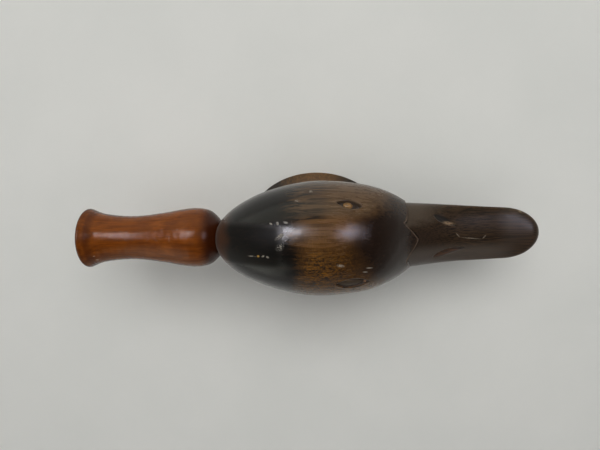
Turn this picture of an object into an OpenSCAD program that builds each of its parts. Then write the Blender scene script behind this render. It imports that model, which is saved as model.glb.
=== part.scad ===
// Vessel flute (ocarina) carved as a duck's head, with a turned mouthpiece at the nape.
// Millimetres. +Z is up through the crown, +X points to the tip of the bill, +Y is the duck's left.
// The origin is the centre of the flat foot under the neck.

/* [Head] */
// Height of the widest line of the head above the foot
head_z = 50; // [48:1:54]
// Half width of the head at its widest
head_half_width = 24.7; // [23:0.1:27]
// Height of the crown above the widest line
crown_h = 23.5; // [21:0.5:26]
// Depth of the cheeks below the widest line
cheek_h = 19; // [17:0.5:21]
// Distance from the widest station back to the tip of the nape
nape_len = 44.4; // [43:0.1:46]
// Distance from the widest station forward to where the forehead would close
brow_len = 47.3; // [46:0.1:50]

/* [Feather line] */
// Where the sides of the feather line cross the root of the bill
feather_x = 39.6; // [38:0.1:41]
// How far the middle tongue of the feather line reaches past its sides
tongue_len = 4.6; // [2:0.1:6]
// Half width of that tongue where it starts
tongue_half = 7; // [5:0.5:9]

/* [Bill] */
// Tip of the bill
bill_tip_x = 101.2; // [95:0.1:106]
// Half width of the bill at its root
bill_root_half = 14.8; // [13:0.1:15]
// Half width of the bill before its rounded end
bill_end_half = 11.1; // [10:0.1:13]
// Height of the edge of the bill above the foot
bill_z = 39.5; // [38:0.5:41]

/* [Neck] */
// Height of the neck block
neck_h = 36; // [35:0.5:38]
// Half length of the foot, along the bill
foot_half_x = 35.5; // [34:0.5:37]
// How far the middle of the foot lies forward of the neck's axis
foot_forward = 1.5; // [0:0.5:2]
// Half width of the foot
foot_half_y = 27; // [26:0.5:29]
// Half length of the neck at its waist
waist_half_x = 20.5; // [20:0.5:23]
// Half width of the neck at its waist
waist_half_y = 18.8; // [18.5:0.1:21]

/* [Air chamber and holes] */
// Radius of the chamber bored up through the neck into the head
chamber_r = 14; // [12:0.5:14]
// Top of the chamber above the foot
chamber_top = 60; // [56:1:62]
// Radius of the two lower finger holes
low_hole_r = 2.75; // [2:0.25:3]
// Radius of the two upper finger holes
high_hole_r = 2.25; // [1.5:0.25:2.5]
// Width of the windway, its window and its lip
windway_w = 8; // [6:0.5:9]
// Thickness of the sheet of air in the windway
windway_t = 1.2; // [0.8:0.1:1.5]

/* [Mouthpiece] */
// Height of the mouthpiece's axis above the foot
mouth_z = 46; // [45:0.5:47]
// Radius of the flared lip
lip_r = 12.9; // [12:0.1:13.5]
// Radius at the slim waist behind the lip
mouth_waist_r = 9.7; // [8.5:0.1:10]
// Radius of the swelling before the head
bulb_r = 12.6; // [12:0.1:13.5]
// Radius of the air bore
air_r = 2.5; // [2:0.1:2.6]
// Radius of the tenon that enters the head
tenon_r = 4.6; // [4.4:0.1:4.7]
// Radius of the socket in the head
socket_r = 5; // [5:0.1:5.2]

/* [Hidden] */
$fn = 64;
fit = 0.05;         // radial clearance of a running fit or a glued fit
seat_gap = 0.2;     // gap between the mouthpiece's shoulder and its dished seat
cut = 0.01;         // how far a cutter starts outside the wood it cuts

// Head
widest_x = 1.3;
nape_x = widest_x - nape_len;
nape_power = 1.62;
brow_power = 2.3;
forehead_power = 1.85;
forehead_len = 49.5;
forehead_step = 0.8; // how far the feather line stands proud of the bill
nape_under_power = 5;
head_end_x = 47;
throat_h = 14.5;
brow_drop = 4;      // how far the widest line falls from the cheeks to the bill

// Bill
bill_start_x = 36;
bill_root_rise = 4; // how far the bill's edge climbs to meet the cheeks
bill_ridge_h = 15.6; // how far the ridge climbs from the tip to the root
bill_ridge_power = 3.34;
bill_tip_top = 2.8;
bill_tip_under = 2.7;
bill_keel_drop = 3.4; // how far the underside falls from the tip to the root
bill_end_len = 16;  // length of the rounded end in plan
bill_lip_len = 5;   // length over which the end thins out
dowel_r = 2;
dowel_y = 6.5;
dowel_z = 42;
dowel_x = [27, 53];

// Eyes
eye_x = 14;
eye_y = 16.05;
eye_z = 66.1;
eye_r = 2.6;

// Neck, chamber and voicing
neck_top_half_x = 24;
neck_top_half_y = 20.5;
waist_z = 21;
foot_edge_h = 2.5;  // height of the rounded edge of the foot
plug_r = 17;
plug_flange_top = 4.5;
plug_top = 9;
hole_low_z = 13;
hole_high_z = 24.5;
hole_turn = 38;     // how far round from the front each finger hole stands
window_z = [19.5, 25];
windway_x = -18.3;  // back face of the sheet of air
block_half_y = 6;
block_x = -16.5;    // inner face of the windway block
drop_x = -19;       // the bore that brings air down from the socket
drop_r = 2.5;
labium_x = -17.5;
labium_foot = [-25, 10.5];
wind_pocket_h = 4;

// Mouthpiece
lip_x = -101.2;
shoulder_x = -40.3;
tenon_end_x = -25;
socket_end_x = -24;
cork_x = [-35.5, -26.5];
cork_groove_r = 3.95;
cork_end_gap = 0.1;
cup_r = 7.5;
cup_len = 11;

// Stations along the outside of the mouthpiece: [x, radius]
mouth_stations = [
    [lip_x, lip_r - 2.6], [lip_x + 0.5, lip_r - 0.7], [lip_x + 1.6, lip_r], [lip_x + 3.8, lip_r - 0.8],
    [-93.2, 10.7], [-85, mouth_waist_r], [-77, mouth_waist_r], [-67, 10.9],
    [-57.5, bulb_r - 0.4], [-51.5, bulb_r], [-46.4, 11.5], [-43.4, 9.4], [-41.4, 7.2], [shoulder_x, 5.6]
];

// Curves

function mix(a, b, t) = a + (b - a) * t;

function clamp01(t) = max(0, min(1, t));

function ease(t) = let (c = clamp01(t)) c * c * (3 - 2 * c);

// Height of an oval arch of the given power at the fraction u of its half span
function arch(u, power) = sqrt(max(0, 1 - pow(max(0, u), power)));

function catmull(a, b, c, d, t) =
    0.5 * (2 * b + (c - a) * t + (2 * a - 5 * b + 4 * c - d) * t * t + (3 * b - a - 3 * c + d) * t * t * t);

// Points on a smooth curve through a list of stations
function smooth(stations, steps) = let (last = len(stations) - 1) [
    for (i = [0 : last - 1], k = [0 : steps - 1])
        catmull(stations[max(0, i - 1)], stations[i], stations[i + 1], stations[min(last, i + 2)], k / steps),
    stations[last]
];

// Head sections
function head_u(x) = x < widest_x ? (widest_x - x) / nape_len : (x - widest_x) / brow_len;

function head_half(x) = head_half_width * arch(head_u(x), x < widest_x ? nape_power : brow_power);

function head_mid(x) = head_z - brow_drop * ease((x - 22) / 26);

// The forehead runs down into the ridge of the bill
function head_up(x) = let (
    crown = crown_h * (x < widest_x ? arch(head_u(x), 2) : 1 - pow((x - widest_x) / forehead_len, forehead_power))
) mix(crown, bill_ridge(x) + forehead_step - head_mid(x), ease((x - 34) / 11));

function head_down(x) = x < widest_x
    ? cheek_h * arch(head_u(x), nape_under_power)
    : mix(cheek_h, throat_h, ease((x - widest_x) / 40)) * arch(head_u(x), 6);

// Bill sections
function bill_t(x) = clamp01((x - bill_start_x) / (bill_tip_x - bill_start_x));

function bill_mid(x) = bill_z + bill_root_rise * ease((60 - x) / 22);

function bill_half(x) =
    mix(bill_end_half, bill_root_half, pow(1 - bill_t(x), 1.3))
    * arch((x - (bill_tip_x - bill_end_len)) / bill_end_len, 2.2);

function bill_lip(x) = arch((x - (bill_tip_x - bill_lip_len)) / bill_lip_len, 2);

function bill_ridge(x) = bill_z + bill_tip_top + bill_ridge_h * pow(1 - bill_t(x), bill_ridge_power);

function bill_up(x) = (bill_ridge(x) - bill_mid(x)) * bill_lip(x);

function bill_down(x) = (bill_mid(x) - bill_z + bill_tip_under + bill_keel_drop * (1 - bill_t(x))) * bill_lip(x);

// Share of the foot's flare that is reached at height z
function flare(z) =
    z < foot_edge_h ? 1
    : z < waist_z ? pow((waist_z - z) / (waist_z - foot_edge_h), 2.3)
    : 0;

// Neck sections
function neck_half(z, foot, waist, top) =
    z < foot_edge_h ? foot - 1.2 * pow(1 - z / foot_edge_h, 2)
    : z < waist_z ? mix(waist, foot, flare(z))
    : mix(waist, top, pow((z - waist_z) / (neck_h - waist_z), 2));

// A ring round the X axis: half width, height above and depth below the line z
function ring_x(x, half, up, down, z, n) = [
    for (k = [0 : n - 1]) let (a = 360 * k / n) [x, half * cos(a), z + sin(a) * (sin(a) > 0 ? up : down)]
];

// A level ring round [x0, 0]
function ring_z(z, x0, half_x, half_y, n) = [
    for (k = [0 : n - 1]) let (a = 360 * k / n) [x0 + half_x * cos(a), half_y * sin(a), z]
];

// A closed skin through rings of equal count
module skin(rings) {
    n = len(rings[0]);
    last = len(rings) - 1;
    polyhedron(
        points = [for (ring = rings) each ring],
        faces = concat(
            [[for (k = [0 : n - 1]) k]],
            [[for (k = [n - 1 : -1 : 0]) last * n + k]],
            [for (i = [0 : last - 1], k = [0 : n - 1]) [i * n + k, (i + 1) * n + k, (i + 1) * n + (k + 1) % n]],
            [for (i = [0 : last - 1], k = [0 : n - 1]) [i * n + k, (i + 1) * n + (k + 1) % n, i * n + (k + 1) % n]]
        )
    );
}

// Solids

module head_skin() {
    count = 38;
    around = 40;
    // Stations crowd towards the two ends, where the head curves fastest
    stations = [
        for (i = [0 : count]) let (a = 180 * i / count)
            mix(nape_x + 0.15, head_end_x, 0.5 - 0.5 * cos(a))
    ];
    skin([for (x = stations) ring_x(x, head_half(x), head_up(x), head_down(x), head_mid(x), around)]);
}

module bill_skin() {
    count = 30;
    around = 36;
    stations = [
        for (i = [0 : count]) let (a = 90 * i / count) mix(bill_start_x, bill_tip_x - 0.05, sin(a))
    ];
    skin([for (x = stations) ring_x(x, bill_half(x), bill_up(x), bill_down(x), bill_mid(x), around)]);
}

module neck_skin() {
    count = 24;
    around = 44;
    skin([
        for (i = [0 : count]) let (z = neck_h * pow(i / count, 1.15))
            ring_z(
                z,
                foot_forward * flare(z),
                neck_half(z, foot_half_x, waist_half_x, neck_top_half_x),
                neck_half(z, foot_half_y, waist_half_y, neck_top_half_y),
                around
            )
    ]);
}

// Everything behind the feather line, as a tall block
module behind_feather_line() {
    reach = 30;
    step = 1;
    translate([0, 0, -1])
        linear_extrude(90)
            polygon(concat(
                [[-60, reach], [-60, -reach], [feather_x, -reach]],
                [
                    for (y = [-tongue_half : step : tongue_half])
                        [feather_x + tongue_len * (1 - pow(y / tongue_half, 2)), y]
                ],
                [[feather_x, reach]]
            ));
}

module along_x(x, y, z) {
    translate([x, y, z])
        rotate([0, 90, 0])
            children();
}

module dowel_pair(r) {
    for (side = [-1, 1])
        along_x(dowel_x[0], side * dowel_y, dowel_z)
            cylinder(h = dowel_x[1] - dowel_x[0], r = r);
}

module chamber() {
    translate([0, 0, plug_flange_top - cut])
        cylinder(h = chamber_top - plug_flange_top, r = chamber_r);
}

module eye(side, r) {
    translate([eye_x, side * eye_y, eye_z])
        sphere(r = r);
}

// A solid turned about the mouthpiece's axis from [x, radius] points
module turned(points) {
    along_x(0, 0, mouth_z)
        rotate_extrude()
            polygon([for (p = points) [p[1], p[0]]]);
}

module mouth_seat() {
    rim = smooth(mouth_stations, 3);
    near = [for (p = rim) if (p[0] > -50) [p[0] + seat_gap, p[1] + seat_gap]];
    turned(concat([[near[0][0], 0]], near, [[near[len(near) - 1][0], 0]]));
}

module socket() {
    along_x(shoulder_x - 1, 0, mouth_z)
        cylinder(h = socket_end_x - shoulder_x + 1, r = socket_r);
    along_x(socket_end_x - cut, 0, mouth_z)
        cylinder(h = drop_x - socket_end_x + drop_r - 0.1, r = drop_r - 0.1);
}

module air_drop() {
    translate([drop_x, 0, neck_h - wind_pocket_h])
        cylinder(h = mouth_z - neck_h + wind_pocket_h, r = drop_r);
}

module block_space() {
    translate([-60, -block_half_y, window_z[1]])
        cube([60 + block_x, 2 * block_half_y, neck_h - window_z[1] + cut]);
}

module head() {
    color([0.16, 0.1, 0.07])
        difference() {
            intersection() {
                head_skin();
                behind_feather_line();
            }
            neck_skin();
            chamber();
            mouth_seat();
            socket();
            air_drop();
            dowel_pair(dowel_r + fit);
            eye(1, eye_r + fit);
            eye(-1, eye_r + fit);
        }
}

module neck() {
    color([0.3, 0.17, 0.09])
        difference() {
            neck_skin();
            chamber();
            translate([0, 0, -cut])
                cylinder(h = plug_flange_top + cut, r = plug_r);
            block_space();
            window();
            finger_holes();
        }
}

// The window lets the sheet of air out of the chamber, and its ramp ends in the sounding lip
module window() {
    translate([-60, -windway_w / 2, window_z[0]])
        cube([60 - chamber_r + 2, windway_w, window_z[1] - window_z[0] + cut]);
    translate([0, windway_w / 2, 0])
        rotate([90, 0, 0])
            linear_extrude(windway_w)
                polygon([
                    [labium_x, window_z[0] + cut], [-60, window_z[0] + cut],
                    [-60, labium_foot[1]], labium_foot
                ]);
}

module finger_holes() {
    for (side = [-1, 1]) {
        finger_hole(hole_low_z, side, low_hole_r);
        finger_hole(hole_high_z, side, high_hole_r);
    }
}

module finger_hole(z, side, r) {
    rotate([0, 0, side * hole_turn])
        along_x(chamber_r - 3, 0, z)
            cylinder(h = 30, r = r);
}

module base_plug() {
    color([0.26, 0.16, 0.09]) {
        cylinder(h = plug_flange_top, r = plug_r - fit);
        translate([0, 0, plug_flange_top - cut])
            cylinder(h = plug_top - plug_flange_top + cut, r = chamber_r - fit);
    }
}

module bill() {
    color([0.2, 0.13, 0.09])
        difference() {
            bill_skin();
            behind_feather_line();
            dowel_pair(dowel_r + fit);
        }
}

module bill_dowels() {
    color([0.76, 0.62, 0.42])
        dowel_pair(dowel_r);
}

module eye_left() {
    color([0.45, 0.29, 0.14])
        eye(1, eye_r);
}

module eye_right() {
    color([0.45, 0.29, 0.14])
        eye(-1, eye_r);
}

module windway_block() {
    color([0.62, 0.42, 0.24])
        difference() {
            intersection() {
                neck_skin();
                block_space();
            }
            translate([windway_x, -windway_w / 2, window_z[1] - 1])
                cube([windway_t, windway_w, neck_h - window_z[1] + 2]);
            air_drop();
        }
}

module mouthpiece() {
    outside = smooth(mouth_stations, 5);
    color([0.55, 0.24, 0.08])
        turned(concat(
            outside,
            [
                [shoulder_x, tenon_r], [cork_x[0], tenon_r], [cork_x[0], cork_groove_r],
                [cork_x[1], cork_groove_r], [cork_x[1], tenon_r], [tenon_end_x, tenon_r],
                [tenon_end_x, air_r], [lip_x + cup_len, air_r]
            ],
            [for (t = [0.2 : 0.2 : 1]) [lip_x + cup_len * (1 - t), mix(air_r, cup_r, pow(t, 2))]]
        ));
}

module tenon_cork() {
    color([0.72, 0.55, 0.36])
        turned([
            [cork_x[0] + cork_end_gap, cork_groove_r + fit], [cork_x[0] + cork_end_gap, socket_r - fit],
            [cork_x[1] - cork_end_gap, socket_r - fit], [cork_x[1] - cork_end_gap, cork_groove_r + fit]
        ]);
}

head();
neck();
base_plug();
bill();
bill_dowels();
eye_left();
eye_right();
windway_block();
mouthpiece();
tenon_cork();
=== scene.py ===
import math

import bpy
import numpy as np
from mathutils import Matrix, Vector


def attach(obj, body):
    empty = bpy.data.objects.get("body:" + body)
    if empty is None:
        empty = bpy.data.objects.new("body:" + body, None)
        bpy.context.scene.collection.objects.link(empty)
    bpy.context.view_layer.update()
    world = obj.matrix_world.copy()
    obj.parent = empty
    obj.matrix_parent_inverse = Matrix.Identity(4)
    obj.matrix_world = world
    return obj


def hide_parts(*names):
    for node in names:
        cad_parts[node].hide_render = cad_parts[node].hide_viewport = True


# Looks for the duck's-head vessel flute. Shapes are worked out in millimetres and stored in metres.
MM = 0.001
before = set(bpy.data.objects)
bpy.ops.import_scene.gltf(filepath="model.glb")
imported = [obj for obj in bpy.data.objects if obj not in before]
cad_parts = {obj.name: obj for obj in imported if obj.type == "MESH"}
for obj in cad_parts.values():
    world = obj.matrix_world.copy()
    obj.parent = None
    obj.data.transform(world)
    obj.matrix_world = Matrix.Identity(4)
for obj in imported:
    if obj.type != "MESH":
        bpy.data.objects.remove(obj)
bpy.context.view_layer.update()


# ---------------------------------------------------------------- camera

def make_camera():
    tilt, pitch, turn = (math.radians(v) for v in (8, -1.2, 0.55))
    right = Vector((1, 0, 0))
    up = Vector((0, math.cos(tilt), -math.sin(tilt)))
    back = Vector((0, math.sin(tilt), math.cos(tilt)))
    lean = Matrix((
        (math.cos(pitch), 0, -math.sin(pitch)), (0, 1, 0), (math.sin(pitch), 0, math.cos(pitch))
    ))
    right, up, back = lean @ right, lean @ up, lean @ back
    right, up = (
        right * math.cos(turn) - up * math.sin(turn),
        right * math.sin(turn) + up * math.cos(turn),
    )
    data = bpy.data.cameras.new("camera")
    data.sensor_width = 36
    data.lens = 27
    data.clip_start = 0.01
    camera = bpy.data.objects.new("camera", data)
    bpy.context.scene.collection.objects.link(camera)
    middle = Vector((0, 0, 0.05))
    distance, aside, above = 0.195, 0.0063, 0.00563
    place = middle + back * distance - right * aside + up * above
    camera.matrix_world = Matrix.Translation(place) @ Matrix((right, up, back)).transposed().to_4x4()
    bpy.context.scene.camera = camera


make_camera()


# ---------------------------------------------------------------- curves of the carving

def mix(a, b, t):
    return a + (b - a) * t


def clamp01(t):
    return np.clip(t, 0, 1)


def ease(t):
    c = clamp01(t)
    return c * c * (3 - 2 * c)


def step(low, high, v):
    return ease((v - low) / (high - low))


def arch(u, power):
    return np.sqrt(np.maximum(0, 1 - np.maximum(0, u) ** power))


def through(keys, v):
    """Smooth curve through (position, value) keys, with Hermite slopes."""
    ks, vs = np.array(keys, float).T
    slope = np.gradient(vs, ks)
    i = np.clip(np.searchsorted(ks, v) - 1, 0, len(ks) - 2)
    w = ks[i + 1] - ks[i]
    t = clamp01((v - ks[i]) / w)
    return (
        (2 * t ** 3 - 3 * t ** 2 + 1) * vs[i] + (t ** 3 - 2 * t ** 2 + t) * w * slope[i]
        + (3 * t ** 2 - 2 * t ** 3) * vs[i + 1] + (t ** 3 - t ** 2) * w * slope[i + 1]
    )


def full_turn(count):
    return np.arange(count) * 2 * math.pi / count


def waves(p, length, seed, count=7):
    """Gentle unevenness about zero: a few crossed waves of roughly the given length."""
    rng = np.random.default_rng(seed)
    total = np.zeros(len(p))
    for _ in range(count):
        way = rng.normal(size=3)
        way /= np.linalg.norm(way)
        total += np.sin(p @ way * (2 * math.pi / (length * rng.uniform(0.7, 1.6))) + rng.uniform(0, 7))
    return total / count


WIDEST_X, NAPE_X, HEAD_Z = 1.3, -43.1, 50
BILL_START, BILL_TIP, BILL_Z = 36, 101.2, 39.5


def head_u(x):
    return np.where(x < WIDEST_X, (WIDEST_X - x) / 44.4, (x - WIDEST_X) / 47.3)


def head_half(x):
    u = head_u(x)
    return 24.7 * np.where(x < WIDEST_X, arch(u, 1.62), arch(u, 2.3))


def head_mid(x):
    return HEAD_Z - 4 * ease((x - 22) / 26)


def head_up(x):
    forehead = 1 - (np.maximum(0, x - WIDEST_X) / 49.5) ** 1.85
    crown = 23.5 * np.where(x < WIDEST_X, arch(head_u(x), 2), forehead)
    return mix(crown, bill_ridge(x) + 0.8 - head_mid(x), ease((x - 34) / 11))


def head_down(x):
    front = mix(19, 14.5, ease((x - WIDEST_X) / 40)) * arch(head_u(x), 6)
    return np.where(x < WIDEST_X, 19 * arch(head_u(x), 5), front)


def bill_t(x):
    return clamp01((x - BILL_START) / (BILL_TIP - BILL_START))


def bill_mid(x):
    return BILL_Z + 4 * ease((60 - x) / 22)


def bill_half(x):
    return mix(11.1, 14.8, (1 - bill_t(x)) ** 1.3) * arch((x - (BILL_TIP - 16)) / 16, 2.2)


def bill_lip(x):
    return arch((x - (BILL_TIP - 5)) / 5, 2)


def bill_ridge(x):
    return BILL_Z + 2.8 + 15.6 * (1 - bill_t(x)) ** 3.34


def bill_up(x):
    return (bill_ridge(x) - bill_mid(x)) * bill_lip(x)


def bill_down(x):
    return (bill_mid(x) - BILL_Z + 2.7 + 3.4 * (1 - bill_t(x))) * bill_lip(x)


def round_x(x, a, half, up, down, mid):
    s = np.sin(a)
    return np.stack([x, half * np.cos(a), mid + s * np.where(s > 0, up, down)], -1)


def head_point(x, a):
    return round_x(x, a, head_half(x), head_up(x), head_down(x), head_mid(x))


def bill_point(x, a):
    return round_x(x, a, bill_half(x), bill_up(x), bill_down(x), bill_mid(x))


def feather_x(a):
    """Where the feather line lies, by degrees round from the top towards the left cheek: a tongue on top,
    then a lobe on each cheek, cut by hand and so not quite alike."""
    deg = np.degrees((math.pi / 2 - a + math.pi) % (2 * math.pi) - math.pi)
    return through([
        (-180, 44.0), (-150, 42.8), (-120, 41.4), (-95, 41.2), (-75, 41.4), (-58, 41.0), (-46, 40.0),
        (-38, 39.3), (-33, 39.6), (-28, 40.3), (-23, 41.4), (-18, 42.5), (-11, 43.5), (-4, 44.1), (1, 43.9),
        (6, 42.9), (13, 41.3), (19, 39.3), (24, 37.7), (26, 37.3), (28, 38.1), (31, 38.5), (37, 38.9),
        (46, 39.3), (58, 39.3), (70, 39.0), (85, 39.2), (100, 39.7), (120, 41.0), (150, 42.8), (180, 44.0)
    ], deg)


NECK_H, WAIST_Z, FOOT_EDGE_H, FOOT_FORWARD = 36, 21, 2.5, 1.5
# Half lengths and half widths of the neck
FOOT, WAIST, NECK_TOP = (35.5, 27), (20.5, 18.8), (24, 20.5)


def flare(z):
    """Share of the foot's flare that is reached at height z."""
    return clamp01((WAIST_Z - z) / (WAIST_Z - FOOT_EDGE_H)) ** 2.3


def neck_half(z, foot, waist, top):
    low = foot - 1.2 * (1 - clamp01(z / FOOT_EDGE_H)) ** 2
    high = mix(waist, top, clamp01((z - WAIST_Z) / (NECK_H - WAIST_Z)) ** 2)
    return np.where(z < FOOT_EDGE_H, low, np.where(z < WAIST_Z, mix(waist, foot, flare(z)), high))


# ---------------------------------------------------------------- mesh tools

def add_object(name, verts, faces):
    mesh = bpy.data.meshes.new(name)
    mesh.from_pydata((np.asarray(verts, float) * MM).tolist(), [], faces)
    obj = bpy.data.objects.new(name, mesh)
    bpy.context.scene.collection.objects.link(obj)
    return obj


def closed_loft(name, rings, first=None, last=None):
    """A closed skin through rings of equal count, each end gathered to one point."""
    n, m, _ = rings.shape
    ends = [rings[0].mean(0) if first is None else first, rings[-1].mean(0) if last is None else last]
    verts = np.concatenate([rings.reshape(-1, 3), np.array(ends, float)])
    i, k = np.meshgrid(np.arange(n - 1), np.arange(m), indexing="ij")
    k2 = (k + 1) % m
    quads = np.stack([i * m + k, (i + 1) * m + k, (i + 1) * m + k2, i * m + k2], -1).reshape(-1, 4).tolist()
    start = [[n * m, j, (j + 1) % m] for j in range(m)]
    end = [[n * m + 1, (n - 1) * m + (j + 1) % m, (n - 1) * m + j] for j in range(m)]
    return outward(add_object(name, verts, quads + start + end))


def outward(obj):
    """Flips the whole closed skin if it is inside out."""
    mesh = obj.data
    mesh.calc_loop_triangles()
    co = np.empty(len(mesh.vertices) * 3)
    mesh.vertices.foreach_get("co", co)
    tri = np.empty(len(mesh.loop_triangles) * 3, int)
    mesh.loop_triangles.foreach_get("vertices", tri)
    a, b, c = co.reshape(-1, 3)[tri.reshape(-1, 3)].transpose(1, 0, 2)
    if np.einsum("ij,ij->i", a, np.cross(b, c)).sum() < 0:
        mesh.flip_normals()
    return obj


def turned(name, profile, around, centre_z, wobble=0.0):
    """A ring of revolution about X at height centre_z, from a closed list of [along, radius]."""
    p = np.array(profile, float)
    a = full_turn(around)
    along = np.repeat(p[:, :1], around, 1)
    r = p[:, 1:] * (1 + wobble * np.sin(2 * a + 0.7) * (p[:, 1:] > 6))
    pts = np.stack([along, r * np.cos(a), centre_z + r * np.sin(a)], -1)
    n = len(p)
    i, k = np.meshgrid(np.arange(n), np.arange(around), indexing="ij")
    i2, k2 = (i + 1) % n, (k + 1) % around
    quads = np.stack([i * around + k, i2 * around + k, i2 * around + k2, i * around + k2], -1)
    return outward(add_object(name, pts.reshape(-1, 3), quads.reshape(-1, 4).tolist()))


def plug(name, profile, around, centre=(0, 0, 0), way=(0, 0, 1)):
    """A solid of revolution from [height, radius] pairs, closed to a point at both ends, stood along way."""
    p = np.array(profile, float)
    a = full_turn(around)
    rings = np.stack([p[:, 1:] * np.cos(a), p[:, 1:] * np.sin(a), np.repeat(p[:, :1], around, 1)], -1)
    turn = np.array(Vector(way).to_track_quat("Z", "Y").to_matrix())
    rings = rings @ turn.T + np.array(centre, float)
    return closed_loft(name, rings)


def block(name, low, high):
    x0, y0, z0 = low
    x1, y1, z1 = high
    verts = [(x, y, z) for x in (x0, x1) for y in (y0, y1) for z in (z0, z1)]
    faces = [(0, 1, 3, 2), (4, 6, 7, 5), (0, 4, 5, 1), (2, 3, 7, 6), (0, 2, 6, 4), (1, 5, 7, 3)]
    return outward(add_object(name, verts, faces))


def prism(name, outline, half_y):
    """An outline of [x, z] points, thick in Y."""
    n = len(outline)
    verts = [(x, y, z) for y in (-half_y, half_y) for x, z in outline]
    sides = [(i, (i + 1) % n, n + (i + 1) % n, n + i) for i in range(n)]
    return outward(add_object(name, verts, [tuple(range(n - 1, -1, -1)), tuple(range(n, 2 * n))] + sides))


def carve(obj, tools, operation="DIFFERENCE"):
    for tool in tools:
        m = obj.modifiers.new("carve", "BOOLEAN")
        m.operation, m.solver, m.object = operation, "EXACT", tool
        done = bpy.data.meshes.new_from_object(obj.evaluated_get(bpy.context.evaluated_depsgraph_get()))
        obj.modifiers.clear()
        obj.data = done


def discard(tools):
    for tool in tools:
        bpy.data.objects.remove(tool)


def points(obj):
    co = np.empty(len(obj.data.vertices) * 3)
    obj.data.vertices.foreach_get("co", co)
    return co.reshape(-1, 3) / MM


def mark(obj, name, values):
    """Stores a number at each vertex for the material to read."""
    layer = obj.data.attributes.new(name, "FLOAT", "POINT")
    layer.data.foreach_set("value", np.asarray(values, np.float32))


def smooth(obj, angle=38):
    obj.data.shade_smooth()
    obj.data.set_sharp_from_angle(angle=math.radians(angle))
    return obj


def unit(v):
    return v / np.linalg.norm(v, axis=-1, keepdims=True)


def spread(low, high, count, crowds):
    """count positions from low to high, closer together inside each crowd (centre, half width, extra)."""
    fine = np.linspace(low, high, 4000)
    density = np.ones_like(fine)
    for centre, width, extra in crowds:
        density += extra * np.exp(-(((fine - centre) / width) ** 4))
    total = np.concatenate([[0], np.cumsum((density[1:] + density[:-1]) / 2)])
    return np.interp(np.linspace(0, total[-1], count), total, fine)


def catmull(keys, steps):
    keys = np.array(keys, float)
    out = []
    for i in range(len(keys) - 1):
        a, b, c, d = keys[max(0, i - 1)], keys[i], keys[i + 1], keys[min(len(keys) - 1, i + 2)]
        for t in np.arange(steps) / steps:
            out.append(0.5 * (2 * b + (c - a) * t + (2 * a - 5 * b + 4 * c - d) * t * t
                              + (3 * b - a - 3 * c + d) * t ** 3))
    return np.array(out + [keys[-1]])


# ---------------------------------------------------------------- eyes

# Each almond was cut by hand. By side: where it sits (x, and degrees round from the top), its half length,
# its half height above and below, its slant and depth, and the bead's half size, pointedness and place in it
EYES = {
    1: dict(
        x=13.6, turn=41.8, long=5.3, up=1.95, down=1.65, lift=8, deep=1.15, bead=(2.0, 1.45), point=0.0,
        shift=(-0.35, 0.1)
    ),
    -1: dict(
        x=15.1, turn=41.6, long=7.2, up=2.7, down=2.8, lift=-4, deep=0.75, bead=(5.3, 1.9), point=0.4,
        shift=(-0.8, -0.35)
    )
}


def eye_axes(side):
    """Centre of the eye on the skin, with its long axis, its upward axis and the outward normal."""
    e = EYES[side]
    x = np.array([e["x"]])
    a = math.pi / 2 - side * math.radians(e["turn"])
    centre = head_point(x, np.array([a]))[0]
    along = head_point(x + 0.05, np.array([a]))[0] - centre
    round_ = head_point(x, np.array([a + 0.01]))[0] - centre
    along = along / np.linalg.norm(along)
    normal = np.cross(along, round_)
    normal *= math.copysign(1 / np.linalg.norm(normal), normal[2])
    rise = np.cross(normal, along)
    rise *= math.copysign(1, rise[2])
    lift = math.radians(e["lift"])
    along, rise = (
        along * math.cos(lift) + rise * math.sin(lift),
        rise * math.cos(lift) - along * math.sin(lift),
    )
    return centre, along, rise, normal


def eye_inside(p, side):
    """Distance inside the almond outline, positive within, and the place along and across it."""
    e = EYES[side]
    centre, along, rise, normal = eye_axes(side)
    d = p - centre
    u, v, w = d @ along, d @ rise, d @ normal
    share = np.abs(u) / e["long"]
    inside = np.where(v > 0, e["up"] * (1 - share ** 2) - v, e["down"] * (1 - share ** 2.2) + v)
    inside = np.where((share > 1) | (np.abs(w) > 6), -9, inside)
    return inside, u, v


# A small knot stands in the front corner of the right eye, so far along and across it
KNOT = (5.4, 0.1)


def knot_distance(u, v):
    return np.hypot(u - KNOT[0], v - KNOT[1])


def eye_depth(p, side):
    e = EYES[side]
    inside, u, v = eye_inside(p, side)
    floor = e["deep"] * (0.8 + 0.35 * step(1.6, 3.2, np.abs(u)) + 0.25 * step(0, 1.2, v))
    depth = floor * step(-0.1, 0.5, inside) - 0.12 * np.exp(-((inside + 0.55) / 0.4) ** 2)
    if side < 0:
        depth -= np.exp(-(knot_distance(u, v) / 0.7) ** 2)
    return np.where(inside > -3, depth, 0)


def knot_mask(p):
    inside, u, v = eye_inside(p, -1)
    return (inside > -3) * step(0.85, 0.5, knot_distance(u, v))


# ---------------------------------------------------------------- head

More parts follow.
